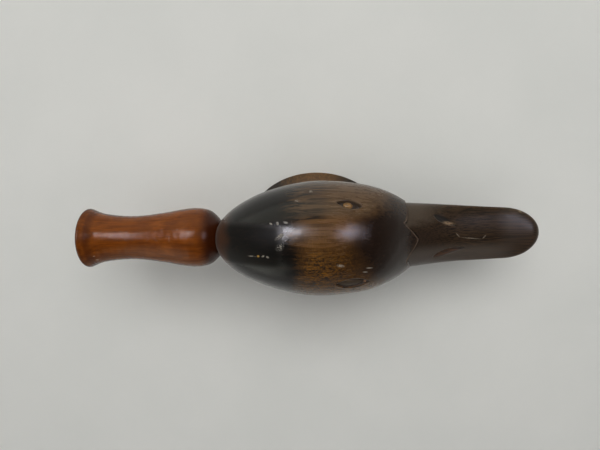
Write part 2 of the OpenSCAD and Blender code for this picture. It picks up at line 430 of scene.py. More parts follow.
def make_head():
    around = 300
    crowds = [(49, 13, 1.7), (131, 13, 1.7), (63, 5, 0.7), (117, 5, 0.7)]
    angles = np.radians(spread(0, 360, around + 1, crowds)[:-1])
    share = spread(0, 1, 268, [(0.69, 0.085, 1.2), (0.985, 0.03, 1.5), (0.0, 0.03, 3)])
    line = feather_x(angles)
    edge = 0.4
    x = NAPE_X + 0.04 + np.outer(share, line - edge - NAPE_X - 0.04)
    a = np.repeat(angles[None], len(share), 0)
    skin = head_point(x, a)
    di = np.gradient(skin, axis=0)
    dk = np.roll(skin, -1, 1) - np.roll(skin, 1, 1)
    normal = unit(np.cross(dk, di))
    flip = np.sign(np.einsum("ijk,ijk->ij", normal, skin - np.array([0, 0, HEAD_Z])))
    normal *= flip[..., None]
    flat = skin.reshape(-1, 3)
    # Knife work leaves the skin very slightly uneven, least near the joints
    calm = step(-43, -34, flat[:, 0]) * step(44, 37, flat[:, 0])
    push = (0.16 * waves(flat, 21, 3) + 0.05 * waves(flat, 7.5, 5)) * calm
    for side in (1, -1):
        push -= eye_depth(flat, side)
    skin = skin + normal * push.reshape(skin.shape[:2])[..., None]
    # The front edge is rounded over, then the face runs in to a point behind the bill
    rings = list(skin)
    last = rings[-1]
    ny = np.cos(angles) / head_half(line)
    nz = np.sin(angles) / np.where(np.sin(angles) > 0, head_up(line), head_down(line))
    size = np.hypot(ny, nz)
    inward = -np.stack([0 * ny, ny / size, nz / size], -1)
    for deg in (20, 40, 60, 80, 90):
        t = math.radians(deg)
        ring = last + inward * (edge * (1 - math.cos(t)))
        ring[:, 0] += edge * math.sin(t)
        rings.append(ring)
    rim = rings[-1]
    for depth in (0.5, 1.1, 1.9):
        rings.append(rim + inward * depth)
    base = rings[-1]
    core = np.array([40.5, 0, head_mid(40.0)])
    for t in (0.25, 0.5, 0.75, 0.93):
        rings.append(base + (core - base) * t)
    return closed_loft("head_carving", np.array(rings), first=(NAPE_X, 0, HEAD_Z), last=core)


def make_neck_skin(name, around=220, levels=150):
    a = full_turn(around)
    rings = []
    for h in NECK_H * (np.linspace(0, 1, levels) ** 1.25):
        half_x, half_y = (float(neck_half(h, *halves)) for halves in zip(FOOT, WAIST, NECK_TOP))
        x0 = FOOT_FORWARD * flare(h)
        rings.append(np.stack([half_x * np.cos(a) + x0, half_y * np.sin(a), np.full(around, h)], -1))
    rings = np.array(rings)
    flat = rings.reshape(-1, 3)
    out = unit(flat * np.array([1, 1, 0]))
    calm = step(3, 9, flat[:, 2]) * step(NECK_H, 30, flat[:, 2])
    flat = flat + out * (0.14 * waves(flat, 19, 11) * calm)[:, None]
    return closed_loft(name, flat.reshape(rings.shape), first=(0, 0, 0), last=(0, 0, NECK_H))


def make_bill():
    around = 220
    crowds = [(-4, 6, 2), (356, 6, 2), (184, 6, 2), (60, 16, 0.6), (120, 16, 0.6)]
    a1 = np.radians(spread(0, 360, around + 1, crowds)[:-1])
    x1 = mix(BILL_START, BILL_TIP - 0.03, np.sin(np.linspace(0, math.pi / 2, 250)) ** 0.92)
    x, a = np.meshgrid(x1, a1, indexing="ij")
    skin = bill_point(x, a)
    di = np.gradient(skin, x1, axis=0)
    dk = np.roll(skin, -1, 1) - np.roll(skin, 1, 1)
    normal = unit(np.cross(dk, di) + 1e-9)
    centre = np.stack([x, 0 * x, bill_mid(x)], -1)
    normal *= np.sign(np.einsum("ijk,ijk->ij", normal, skin - centre) + 1e-9)[..., None]
    flat = skin.reshape(-1, 3)
    ax, aa = x.reshape(-1), a.reshape(-1)
    calm = step(BILL_START, 42, ax) * step(BILL_TIP, BILL_TIP - 7, ax)
    push = (0.12 * waves(flat, 17, 21) + 0.035 * waves(flat * np.array([0.35, 1, 1]), 4, 23)) * calm
    push -= nostril_depth(flat)
    # The mouth line runs round the edge, and a V groove follows the feather line
    low = flat[:, 2] - (BILL_Z - 0.5 + 2.6 * ease((56 - ax) / 18))
    push -= 0.5 * np.exp(-(low / 0.42) ** 2) * step(BILL_TIP - 0.4, BILL_TIP - 3, ax)
    gap = ax - feather_x(aa)
    push -= 0.4 * clamp01(1 - np.abs(gap) / 0.75)
    skin = skin + normal * push.reshape(x.shape)[..., None]
    return closed_loft(
        "bill_carving", skin, first=(BILL_START, 0, bill_mid(BILL_START)), last=(BILL_TIP, 0, BILL_Z)
    )


NOSTRIL_HALF, NOSTRIL_DEPTH = 1.75, 0.85
# Side, rear end, front end and bow towards the middle
NOSTRILS = ((1, (52.3, 9.4), (63.2, 4.2), 0.2), (-1, (52.4, -10.0), (67.0, -6.2), 0.8))


def nostril_depth(p):
    total = np.zeros(len(p))
    for side, rear, front, bow in NOSTRILS:
        way = np.array(front) - rear
        length = np.linalg.norm(way)
        way /= length
        d = p[:, :2] - rear
        t = d @ way / length
        c = clamp01(t)
        # Distance across, positive outwards, from a line that bows towards the middle of the bill
        off = side * (d @ np.array([-way[1], way[0]])) + bow * 4 * c * (1 - c)
        half = NOSTRIL_HALF * np.sqrt(np.maximum(0, 1 - (2 * c - 1) ** 2)) * (1.15 - 0.5 * c)
        inside = (half - np.abs(off)) * ((t > 0) & (t < 1))
        # Steep on the inner side, easy on the outer side
        fall = np.where(off < 0, step(0, 0.5, inside), step(0, 1.3, inside))
        total += NOSTRIL_DEPTH * fall * (p[:, 2] > BILL_Z + 1)
    return total


def make_eye(name, side):
    e = EYES[side]
    centre, along, rise, normal = eye_axes(side)
    rings = []
    v = full_turn(72)
    u = e["bead"][0] * np.cos(v)
    w = e["bead"][1] * np.sin(v) * np.abs(np.sin(v)) ** e["point"]
    # The head is round under the eye, so the bead's foot follows it down away from the middle
    for deg in np.linspace(3, 90, 18):
        t = math.radians(deg)
        us, ws = u * math.sin(t) + e["shift"][0], w * math.sin(t) + e["shift"][1]
        sink = -e["deep"] * 1.1 + (e["deep"] * 1.1 - 0.12) * math.cos(t) - us ** 2 / 80 - ws ** 2 / 46
        rings.append(centre + np.outer(us, along) + np.outer(ws, rise) + np.outer(sink, normal))
    rings.append(rings[-1] - normal * 0.5)
    return smooth(closed_loft(name, np.array(rings)), 50)


# ---------------------------------------------------------------- mouthpiece

MOUTH_Z, LIP_X, SHOULDER_X = 46, -101.2, -40.3
MOUTH_KEYS = [
    [LIP_X, 10.3], [LIP_X + 0.5, 12.2], [LIP_X + 1.6, 12.95], [LIP_X + 3.8, 12.1], [-93.2, 10.7], [-85, 9.7],
    [-77, 9.7], [-67, 10.9], [-57.5, 12.5], [-51.5, 12.95], [-46.4, 12.0], [-43.4, 9.8], [-41.4, 7.4],
    [SHOULDER_X, 5.6]
]


def seat_tool():
    """The dished seat in the nape, a little wider than the mouthpiece's shoulder."""
    rim, gap = catmull(MOUTH_KEYS, 6), 0.2
    return plug("seat_tool", rim[rim[:, 0] > -50] + gap, 96, (0, 0, MOUTH_Z), (1, 0, 0))


def make_mouthpiece():
    outside = catmull(MOUTH_KEYS, 14)
    # The lip is a soft bead set off by a shallow turned line
    x = outside[:, 0]
    outside[:, 1] -= 0.10 * np.exp(-((x - LIP_X - 4.6) / 0.45) ** 2)
    outside[:, 1] += 0.02 * np.sin(x * 2.1) * step(LIP_X + 5, LIP_X + 9, x) * step(-44, -48, x)
    cup = [[LIP_X + 11 * (1 - t), mix(2.5, 7.5, t * t)] for t in np.linspace(0, 0.94, 24)]
    brim = [[LIP_X + 0.35, 7.75], [LIP_X + 0.1, 8.3], [LIP_X, 9.1]]
    tenon = [
        [SHOULDER_X + 0.05, 4.9], [SHOULDER_X + 0.1, 4.6], [-35.7, 4.6], [-35.5, 4.5], [-35.5, 3.95],
        [-26.5, 3.95], [-26.5, 4.5], [-26.3, 4.6], [-25.5, 4.6], [-25.1, 4.4], [-25, 4.1], [-25, 2.6],
        [-25.1, 2.5]
    ]
    bore = [[v, 2.5] for v in np.linspace(-30, LIP_X + 11.5, 12)]
    profile = list(outside) + tenon + bore + cup + brim
    return smooth(turned("mouthpiece_turning", profile, 176, MOUTH_Z, 0.0015), 35)


def make_cork():
    profile = [
        [-35.4, 4.0], [-35.4, 4.75], [-35.2, 4.95], [-31, 4.95], [-26.8, 4.95], [-26.6, 4.75], [-26.6, 4.0],
        [-31, 4.0]
    ]
    return smooth(turned("cork_sleeve", profile, 96, MOUTH_Z), 30)


# ---------------------------------------------------------------- build and carve the pieces

head = make_head()
neck = make_neck_skin("neck_carving")
bill = make_bill()
dowels = [
    plug("dowel_tool", [[27, 2.05], [53, 2.05]], 32, (0, side * 6.5, 42), (1, 0, 0)) for side in (1, -1)
]
carve(bill, [head] + dowels)
chamber = plug("chamber_tool", [[4.4, 14], [20, 14], [59, 14], [60, 13.2]], 120)
socket = plug(
    "socket_tool", [[-45, 5], [-24, 5], [-23.9, 2.4], [-16.9, 2.4]], 64, (0, 0, MOUTH_Z), (1, 0, 0)
)
drop = plug("drop_tool", [[32, 2.5], [46, 2.5]], 48, (-19, 0, 0))
seat = seat_tool()
carve(head, [neck, chamber, seat, socket, drop] + dowels)

block_space = block("block_tool", (-60, -6, 25), (-16.5, 6, 36.5))
fitting = make_neck_skin("windway_block_fitting")
carve(fitting, [block_space], "INTERSECT")
slot = block("slot_tool", (-18.3, -4, 24), (-17.1, 4, 38))
carve(fitting, [slot, drop])

counterbore = plug("counterbore_tool", [[-1, 17], [4.5, 17]], 120)
window = block("window_tool", (-60, -4, 19.5), (-12, 4, 25.01))
ramp = prism("ramp_tool", [(-17.5, 19.51), (-60, 19.51), (-60, 10.5), (-25, 10.5)], 4)
# The foot's half length as the holes in its front meet it, since the foot stands a little forward
hole_foot = 36.5
holes = []
for z, r in ((13, 2.75), (24.5, 2.25)):
    for side in (1, -1):
        turn = math.radians(38 * side)
        way = (math.cos(turn), math.sin(turn), 0)
        # The mouth of each hole is eased where the finger rests
        half_x = neck_half(z, hole_foot, WAIST[0], NECK_TOP[0])
        half_y = neck_half(z, FOOT[1], WAIST[1], NECK_TOP[1])
        surface = 1 / math.hypot(math.cos(turn) / half_x, math.sin(turn) / half_y)
        holes.append(plug("hole_tool", [
            [11, r], [surface - 0.9, r], [surface - 0.35, r + 0.18], [surface, r + 0.55],
            [surface + 0.8, r + 1.6], [surface + 4, r + 2.2]
        ], 56, (0, 0, z), way))
carve(neck, [chamber, counterbore, block_space, window, ramp] + holes)
discard(dowels + [chamber, socket, drop, seat, block_space, slot, counterbore, window, ramp] + holes)

base_plug = plug("base_plug_turning", [
    [0, 0.4], [0, 5.0], [0.12, 5.4], [0, 5.8], [0, 11.0], [0.12, 11.4], [0, 11.8], [0, 16.4], [0.15, 16.75],
    [0.5, 16.95], [2, 16.95], [4.45, 16.95], [4.5, 16.9], [4.5, 14.0], [4.55, 13.95], [8.6, 13.95],
    [8.9, 13.8], [9, 13.4], [9, 6], [9, 0.4]
], 144)
mouthpiece = make_mouthpiece()
cork = make_cork()
eye_left = make_eye("eye_bead_left", 1)
eye_right = make_eye("eye_bead_right", -1)
for obj in (head, neck, bill, fitting, base_plug):
    smooth(obj)


def section_angle(p, mid, half, up, down, least):
    """The angle round the section at each point, as the feather line counts it."""
    rise = p[:, 2] - mid
    tall = np.where(rise > 0, np.maximum(up, least), np.maximum(down, least))
    return np.arctan2(rise / tall, p[:, 1] / np.maximum(half, least))


p = points(head)
x = p[:, 0]
angle = section_angle(p, head_mid(x), head_half(x), head_up(x), head_down(x), 1)
inside = [eye_inside(p, side)[0] for side in (1, -1)]
mark(head, "line_gap", feather_x(angle) - x)
mark(head, "eye_cut", np.maximum(*[step(-0.25, 0.25, v) for v in inside]))
mark(head, "knot", knot_mask(p))
mark(head, "eye_rim", np.maximum(*[np.exp(-((v + 0.45) / 0.35) ** 2) for v in inside]))
p = points(bill)
x = p[:, 0]
angle = section_angle(p, bill_mid(x), bill_half(x), bill_up(x), bill_down(x), 0.5)
mark(bill, "line_gap", x - feather_x(angle))
mark(bill, "nostril", clamp01(nostril_depth(p)))
edge_near = np.exp(-(((bill_half(x) - np.abs(p[:, 1])) / 1.1) ** 2)) * step(50, 62, x)
tip_near = step(BILL_TIP - 2.2, BILL_TIP - 0.2, x)
mark(bill, "tip_edge", np.maximum(edge_near, tip_near) * (p[:, 2] > BILL_Z - 1))
p = points(mouthpiece)
mark(mouthpiece, "bore", (np.hypot(p[:, 1], p[:, 2] - MOUTH_Z) < 5.2) * 1.0)


# ---------------------------------------------------------------- materials

# A wave texture of scale 1 repeats in this length
WAVE_LENGTH = 0.314


class Wood:
    """A material's node graph, with positions in millimetres from the object's own coordinates."""

    def __init__(self, name):
        self.material = bpy.data.materials.new(name)
        self.material.use_nodes = True
        self.tree = self.material.node_tree
        self.shader = self.tree.nodes["Principled BSDF"]
        coords = self.tree.nodes.new("ShaderNodeTexCoord").outputs["Object"]
        scaled = self.node("ShaderNodeVectorMath", {"operation": "SCALE"}, Vector=coords, Scale=1 / MM)
        self.p = scaled.outputs[0]
        self.x, self.y, self.z = self.node("ShaderNodeSeparateXYZ", Vector=self.p).outputs

    def node(self, kind, settings=None, **inputs):
        n = self.tree.nodes.new(kind)
        for key, value in (settings or {}).items():
            setattr(n, key, value)
        for key, value in inputs.items():
            self.put(n.inputs[key.replace("_", " ")], value)
        return n

    def put(self, socket, value):
        if isinstance(value, bpy.types.NodeSocket):
            self.tree.links.new(value, socket)
        elif hasattr(value, "__len__") and len(value) == 3 and socket.type == "RGBA":
            socket.default_value = (*value, 1)
        else:
            socket.default_value = value

    def calc(self, operation, *values):
        n = self.node("ShaderNodeMath", {"operation": operation})
        for socket, value in zip(n.inputs, values):
            self.put(socket, value)
        return n.outputs[0]

    def add(self, a, b):
        return self.calc("ADD", a, b)

    def mul(self, *values):
        out = values[0]
        for v in values[1:]:
            out = self.calc("MULTIPLY", out, v)
        return out

    def most(self, a, b):
        return self.calc("MAXIMUM", a, b)

    def ramp(self, value, low, high, start=0.0, end=1.0):
        return self.node(
            "ShaderNodeMapRange", {"interpolation_type": "SMOOTHSTEP"}, Value=value,
            From_Min=low, From_Max=high, To_Min=start, To_Max=end
        ).outputs[0]

    def stretched(self, scale, turn=(0, 0, 0), move=(0, 0, 0)):
        n = self.node("ShaderNodeMapping", Vector=self.p)
        n.inputs["Location"].default_value = move
        n.inputs["Rotation"].default_value = [math.radians(v) for v in turn]
        n.inputs["Scale"].default_value = scale
        return n.outputs[0]

    def noise(self, scale, detail=3.0, rough=0.5, turn=(0, 0, 0), move=(0, 0, 0), distort=0.0):
        return self.node(
            "ShaderNodeTexNoise", Vector=self.stretched(scale, turn, move), Scale=1.0, Detail=detail,
            Roughness=rough, Distortion=distort
        ).outputs[0]

    def wave(self, settings, vector, period, distort, detail_scale, detail_rough=0.5):
        return self.node(
            "ShaderNodeTexWave", settings, Vector=vector, Scale=WAVE_LENGTH / period, Distortion=distort,
            Detail=2.0, Detail_Scale=detail_scale, Detail_Roughness=detail_rough
        ).outputs[1]

    def rings(self, period, move, distort, detail_scale, squeeze):
        """Year rings about an axis along X that passes through -move."""
        vector = self.stretched((squeeze, 1, 1), move=(move[0] * squeeze, move[1], move[2]))
        settings = {"wave_type": "RINGS", "rings_direction": "X"}
        return self.wave(settings, vector, period, distort, detail_scale, 0.6)

    def spot(self, centre, half, turn=0.0):
        """1 at the middle of an ellipsoid and 0 at its skin."""
        n = self.node("ShaderNodeMapping", {"vector_type": "TEXTURE"}, Vector=self.p)
        n.inputs["Location"].default_value = centre
        n.inputs["Rotation"].default_value = (0, 0, math.radians(turn))
        n.inputs["Scale"].default_value = half
        length = self.node("ShaderNodeVectorMath", {"operation": "LENGTH"}, Vector=n.outputs[0])
        return self.ramp(length.outputs["Value"], 1.0, 0.25)

    def blend(self, factor, a, b):
        n = self.node("ShaderNodeMixRGB", {"use_clamp": True})
        self.put(n.inputs[0], factor)
        self.put(n.inputs[1], a)
        self.put(n.inputs[2], b)
        return n.outputs[0]

    def mark(self, name):
        return self.node("ShaderNodeAttribute", {"attribute_name": name}).outputs["Fac"]

    def finish(self, colour, roughness, height, distance, strength=1.0, **uniform):
        """Wires up the shader, with a bump of the given distance in millimetres."""
        self.put(self.shader.inputs["Base Color"], colour)
        self.put(self.shader.inputs["Roughness"], roughness)
        bump = self.node("ShaderNodeBump", Strength=strength, Distance=distance * MM, Height=height)
        self.put(self.shader.inputs["Normal"], bump.outputs[0])
        for key, value in uniform.items():
            self.shader.inputs[key.replace("_", " ")].default_value = value
        return self.material


def head_wood():
    w = Wood("head_wood")
    streak = w.noise((0.035, 0.95, 0.95), 5, 0.62, distort=0.25)
    fine = w.noise((0.14, 3.4, 3.4), 4, 0.65)
    cloud = w.noise((0.06, 0.13, 0.13), 3, 0.5, move=(3, 1, 7))
    fleck = w.noise((0.55, 1.7, 1.7), 4, 0.6, distort=1.4)
    # The stain was rubbed back over the middle of the head, further forward on the cheeks than on the crown
    place = w.add(w.x, w.add(w.mul(w.add(streak, -0.5), 4.5), w.mul(w.add(cloud, -0.5), 12.0)))
    forward = w.add(place, w.mul(w.y, w.y, -0.055))
    back = w.add(place, w.ramp(w.y, 6.0, 15.0, 0.0, -12.0))
    band = w.mul(w.ramp(back, -11.0, 0.0), w.ramp(forward, 21.0, 0.0))
    near = w.ramp(w.y, 2.0, -5.0)
    far = w.ramp(w.y, 9.0, 15.0)
    colour = w.blend(w.ramp(place, -15.0, 8.0), (0.0042, 0.0030, 0.0016), (0.021, 0.0095, 0.0045))
    lighter = w.mul(w.ramp(streak, 0.45, 0.68), w.ramp(w.x, -14.0, -4.0, 0.25, 0.7))
    colour = w.blend(lighter, colour, (0.034, 0.017, 0.009))
    # Painted reflection of the mouthpiece's red-brown on the tip of the nape
    nape_painted_reflection = w.ramp(w.add(w.x, w.mul(cloud, 5.0)), -31.0, -36.5)
    colour = w.blend(w.mul(nape_painted_reflection, 0.9), colour, (0.078, 0.029, 0.009))
    figure = w.add(w.mul(streak, 0.7), w.mul(fine, 0.3))
    brown = w.blend(w.ramp(figure, 0.36, 0.64), (0.094, 0.038, 0.005), (0.215, 0.094, 0.012))
    colour = w.blend(w.mul(band, 0.95), colour, brown)
    far_brown = w.blend(w.ramp(fine, 0.36, 0.6), (0.050, 0.029, 0.014), (0.100, 0.058, 0.027))
    colour = w.blend(w.mul(far, band, 0.6), colour, far_brown)
    # On the near cheek the figure breaks into golden scales, which curl round one small knot
    knot = w.spot((-1.5, -8.5, 68), (6.5, 5.0, 9))
    curl = w.wave({"wave_type": "RINGS", "rings_direction": "Z"},
                  w.stretched((1, 1.35, 0.3), move=(1.5, 11.5, -20)), 1.15, 4.5, 1.6)
    scale = w.add(w.mul(fleck, 0.75), w.mul(w.add(curl, -0.5), w.mul(knot, 0.16)))
    cheek = w.mul(band, near)
    colour = w.blend(w.mul(cheek, w.ramp(scale, 0.42, 0.31)), colour, (0.013, 0.006, 0.003))
    colour = w.blend(w.mul(cheek, w.ramp(scale, 0.39, 0.50), 0.8), colour, (0.31, 0.136, 0.007))
    # A brighter strip beside the crown
    strip = w.mul(w.spot((3.0, 9.6, 70), (15, 3.6, 9)), w.ramp(streak, 0.34, 0.52))
    colour = w.blend(w.mul(strip, 0.85), colour, (0.19, 0.080, 0.006))
    # Straight grain shows on the left cheek
    grain = w.mul(far, w.ramp(w.x, -16.0, -5.0), w.ramp(w.x, 38.0, 20.0),
                  w.ramp(w.add(streak, w.mul(fine, 0.3)), 0.5, 0.76))
    colour = w.blend(w.mul(grain, 0.7), colour, (0.150, 0.090, 0.044))
    low = w.mul(w.ramp(w.z, 60.0, 50.0), w.ramp(streak, 0.32, 0.62))
    colour = w.blend(w.mul(low, 0.6), colour, (0.066, 0.040, 0.022))
    pore = w.ramp(fine, 0.62, 0.73)
    colour = w.blend(w.mul(pore, 0.5), colour, (0.005, 0.0035, 0.002))
    # Eyes: painted shade in the hollow, rubbed on the rim
    colour = w.blend(w.mul(w.mark("eye_cut"), 0.75), colour, (0.020, 0.014, 0.009))
    colour = w.blend(w.mul(w.mark("eye_rim"), w.ramp(fine, 0.3, 0.6), 0.5), colour, (0.12, 0.076, 0.038))
    colour = w.blend(w.mul(w.mark("knot"), 0.95), colour, (0.30, 0.14, 0.045))
    # Feather line: a pale rubbed edge, partly a painted glint along it
    gap = w.mark("line_gap")
    rubbed_edge_and_glint = w.mul(w.ramp(gap, 0.95, 0.4), w.ramp(fine, 0.36, 0.56, 0.25, 1.0),
                   w.ramp(w.calc("ABSOLUTE", w.y), 10.5, 8.5, 0.25, 1.0))
    colour = w.blend(w.mul(rubbed_edge_and_glint, 0.85), colour, (0.20, 0.14, 0.10))
    # Knocks and scratches on the crown
    grit = w.noise((2.2, 2.2, 2.2), 4, 0.7, move=(5, 3, 9))
    knocks = [
        ((-13.6, 0.2, 72), (2.4, 1.7, 5), 35, 0.49), ((-13.7, 4.3, 71), (2.9, 1.0, 5), 38, 0.44),
        ((-17.2, 9.0, 69), (0.9, 0.45, 5), -20, 0.36), ((-14.6, 9.2, 70), (0.8, 0.9, 5), 15, 0.42),
        ((-11.4, 9.6, 70), (1.3, 0.5, 5), -8, 0.40), ((-25.0, -4.0, 68), (2.4, 0.42, 5), -2, 0.44),
        ((-20.4, -3.7, 69.5), (0.9, 0.5, 5), 25, 0.38), ((-18.6, -4.0, 70), (0.9, 0.6, 5), -30, 0.38),
        ((9.8, -7.4, 71.5), (2.1, 0.8, 5), -12, 0.42), ((21.5, -9.25, 67), (1.9, 0.36, 5), -4, 0.32),
        ((19.9, -10.9, 67.5), (1.4, 0.33, 5), -6, 0.34), ((-7.0, 17.5, 66), (1.6, 0.6, 6), 5, 0.5),
        ((-1.5, 21.0, 61), (1.1, 0.7, 6), 0, 0.5)
    ]
    scuff = None
    for centre, half, turn, level in knocks:
        one = w.mul(w.spot(centre, half, turn), w.ramp(grit, level, level + 0.09))
        scuff = one if scuff is None else w.most(scuff, one)
    colour = w.blend(w.mul(scuff, 0.85), colour, (0.42, 0.38, 0.32))
    colour = w.blend(w.mul(w.spot((-22.4, -3.8, 69.5), (0.75, 0.65, 3)), 0.9), colour, (0.48, 0.29, 0.07))
    hair = w.noise((0.16, 7.0, 7.0), 2, 0.5, turn=(0, 0, 7), move=(1, 8, 3))
    colour = w.blend(w.mul(w.ramp(hair, 0.70, 0.78), 0.14), colour, (0.20, 0.17, 0.14))
    # Fine marks across the grain, left by the scraper
    chatter = w.noise((2.6, 0.55, 0.4), 3, 0.6, distort=1.5)
    worn = w.mul(band, w.ramp(w.calc("ABSOLUTE", w.y), 11.0, 5.0), w.ramp(chatter, 0.48, 0.60), 0.45)
    colour = w.blend(worn, colour, (0.26, 0.13, 0.030))
    height = w.add(w.mul(streak, 0.45), w.add(w.mul(chatter, 0.75), scuff))
    height = w.add(w.mul(fine, 0.7), height)
    height = w.add(height, w.add(w.mul(pore, -0.6), w.mul(cheek, fleck, 0.6)))
    # The polish has gone dull behind the crown
    dull = w.mul(w.ramp(w.x, -11.0, -17.0), w.ramp(w.calc("ABSOLUTE", w.y), 10.0, 6.0), 0.26)
    rough = w.add(w.add(w.ramp(streak, 0.3, 0.7, 0.18, 0.25), dull), w.mul(scuff, 0.35))
    w.put(w.shader.inputs["Specular IOR Level"], w.ramp(dull, 0.0, 0.26, 0.62, 0.2))
    rough = w.add(rough, w.add(w.mul(band, 0.07), w.mul(w.mark("eye_cut"), 0.2)))
    return w.finish(colour, rough, height, 0.030, 1.0, Sheen_Weight=0.2, Sheen_Roughness=0.4)


def bill_wood():
    w = Wood("bill_wood")
    streak = w.noise((0.022, 2.5, 1.8), 5, 0.6, distort=0.15)
    fine = w.noise((0.10, 5.0, 4.0), 4, 0.65)
    cloud = w.noise((0.07, 0.2, 0.2), 3, 0.5, move=(9, 3, 1))
    colour = w.blend(w.ramp(streak, 0.36, 0.66), (0.016, 0.0105, 0.006), (0.074, 0.044, 0.023))
    colour = w.blend(w.mul(w.ramp(fine, 0.52, 0.7), 0.6), colour, (0.095, 0.058, 0.031))
    # Ruddy down the middle of the root, and a pale grey painted haze beside it on the far side
    aside = w.add(w.calc("ABSOLUTE", w.add(w.y, 1.5)), w.mul(cloud, 4.0))
    ruddy = w.mul(w.ramp(aside, 8.5, 5.0), w.ramp(w.x, 66.0, 48.0), w.ramp(streak, 0.33, 0.55))
    colour = w.blend(w.mul(ruddy, 0.75), colour, (0.043, 0.025, 0.016))
    root_painted_haze = w.mul(w.ramp(w.x, 60.0, 44.0), w.ramp(w.add(w.y, w.mul(cloud, 6.0)), 7.0, 11.0))
    colour = w.blend(w.mul(root_painted_haze, 0.7), colour, (0.128, 0.100, 0.076))
    # Painted grey sheen along the near side of the bill
    side = w.mul(w.ramp(w.add(w.y, w.mul(streak, 2.0)), -1.0, -7.0), w.ramp(w.x, 95.0, 80.0), 0.7)
    colour = w.blend(side, colour, (0.135, 0.113, 0.097))
    front = w.mul(w.ramp(w.x, 72.0, 96.0), w.ramp(streak, 0.36, 0.6))
    colour = w.blend(w.mul(front, 0.6), colour, (0.075, 0.043, 0.025))
    edge = w.mul(w.mark("tip_edge"), w.ramp(w.noise((0.6, 0.9, 0.9), 4, 0.7), 0.42, 0.62))
    colour = w.blend(w.mul(edge, 0.6), colour, (0.13, 0.068, 0.026))
    chip = w.mul(w.spot((92.0, 10.0, 42), (1.7, 0.9, 3), -22), w.ramp(fine, 0.3, 0.5))
    colour = w.blend(w.mul(chip, 0.9), colour, (0.45, 0.36, 0.24))
    # Painted shade in the nostril pits
    nostril = w.mark("nostril")
    colour = w.blend(w.mul(w.ramp(nostril, 0.12, 0.6), 0.9), colour, (0.034, 0.030, 0.027))
    red = w.mul(w.ramp(nostril, 0.3, 0.8), w.ramp(w.y, 0.0, -2.0), w.ramp(streak, 0.30, 0.52))
    colour = w.blend(w.mul(red, 0.85), colour, (0.110, 0.058, 0.034))
    pale = w.mul(w.spot((59.3, 5.3, 46), (4.2, 1.15, 5), -9),
                 w.ramp(w.noise((0.9, 2.4, 2.4), 3), 0.34, 0.48))
    colour = w.blend(w.mul(pale, 0.92), colour, (0.36, 0.25, 0.155))
    grit = w.noise((1.8, 3.0, 3.0), 4, 0.7, move=(4, 1, 2))
    scratch = w.most(w.spot((63.4, 0.0, 45), (1.9, 0.36, 4), -46),
                     w.spot((69.6, -1.6, 44), (6.2, 0.36, 4), -5.5))
    scratch = w.mul(w.most(scratch, w.spot((75.7, -1.1, 43), (1.5, 0.45, 4), 47)), w.ramp(grit, 0.38, 0.5))
    colour = w.blend(w.mul(scratch, 0.9), colour, (0.27, 0.22, 0.17))
    # Painted shade in the V groove along the feather line
    groove_shade = w.ramp(w.mark("line_gap"), 0.85, 0.2)
    colour = w.blend(w.mul(groove_shade, 0.9), colour, (0.006, 0.0045, 0.0035))
    hair = w.noise((0.12, 8.0, 8.0), 2, 0.5, turn=(0, 0, -4), move=(1, 3, 3))
    colour = w.blend(w.mul(w.ramp(hair, 0.69, 0.78), 0.16), colour, (0.18, 0.15, 0.13))
    height = w.add(w.mul(fine, 0.8), w.add(w.mul(streak, 0.6), w.mul(scratch, -0.8)))
    rough = w.add(w.mul(scratch, 0.2), w.mul(w.ramp(nostril, 0.1, 0.6), 0.3))
    rough = w.add(w.ramp(streak, 0.3, 0.7, 0.30, 0.42), rough)
    w.put(w.shader.inputs["Specular IOR Level"], w.ramp(w.x, 80.0, 89.0, 0.16, 0.55))
    return w.finish(colour, rough, height, 0.04, 1.0, Sheen_Weight=0.3, Sheen_Roughness=0.4)


def neck_wood():
    w = Wood("neck_wood")
    streak = w.noise((1.0, 1.0, 0.05), 5, 0.62, distort=0.3)
    fine = w.noise((3.6, 3.6, 0.16), 4, 0.65)
    cloud = w.noise((0.1, 0.1, 0.06), 3, 0.5, move=(2, 5, 7))
    place = w.add(w.x, w.add(w.mul(w.add(streak, -0.5), 12.0), w.mul(w.add(cloud, -0.5), 12.0)))
    band = w.mul(w.ramp(place, -19.0, -6.0), w.ramp(place, 22.0, 6.0))
    colour = w.blend(w.ramp(streak, 0.34, 0.68), (0.010, 0.0065, 0.004), (0.040, 0.024, 0.0135))
    warm = w.blend(w.ramp(streak, 0.34, 0.66), (0.105, 0.050, 0.013), (0.205, 0.102, 0.026))
    colour = w.blend(w.mul(band, 0.95), colour, warm)
    colour = w.blend(w.mul(w.ramp(fine, 0.62, 0.74), 0.5), colour, (0.010, 0.006, 0.004))
    foot = w.mul(w.ramp(w.z, 3.2, 0.6), w.ramp(w.noise((0.7, 0.7, 0.7), 4, 0.7), 0.4, 0.6))
    colour = w.blend(w.mul(foot, 0.6), colour, (0.16, 0.10, 0.055))
    raw = w.mul(w.ramp(w.z, 0.25, 0.02), 0.8)
    bare = w.blend(w.ramp(streak, 0.3, 0.7), (0.11, 0.06, 0.028), (0.20, 0.125, 0.065))
    colour = w.blend(raw, colour, bare)
    height = w.add(w.mul(fine, 0.9), w.add(w.mul(streak, 0.6), w.mul(w.ramp(fine, 0.62, 0.74), -0.7)))
    rough = w.add(w.ramp(streak, 0.3, 0.7, 0.30, 0.42), w.mul(raw, 0.3))
    return w.finish(colour, rough, height, 0.055, 1.0, Specular_IOR_Level=0.5,
                    Sheen_Weight=0.4, Sheen_Roughness=0.4)


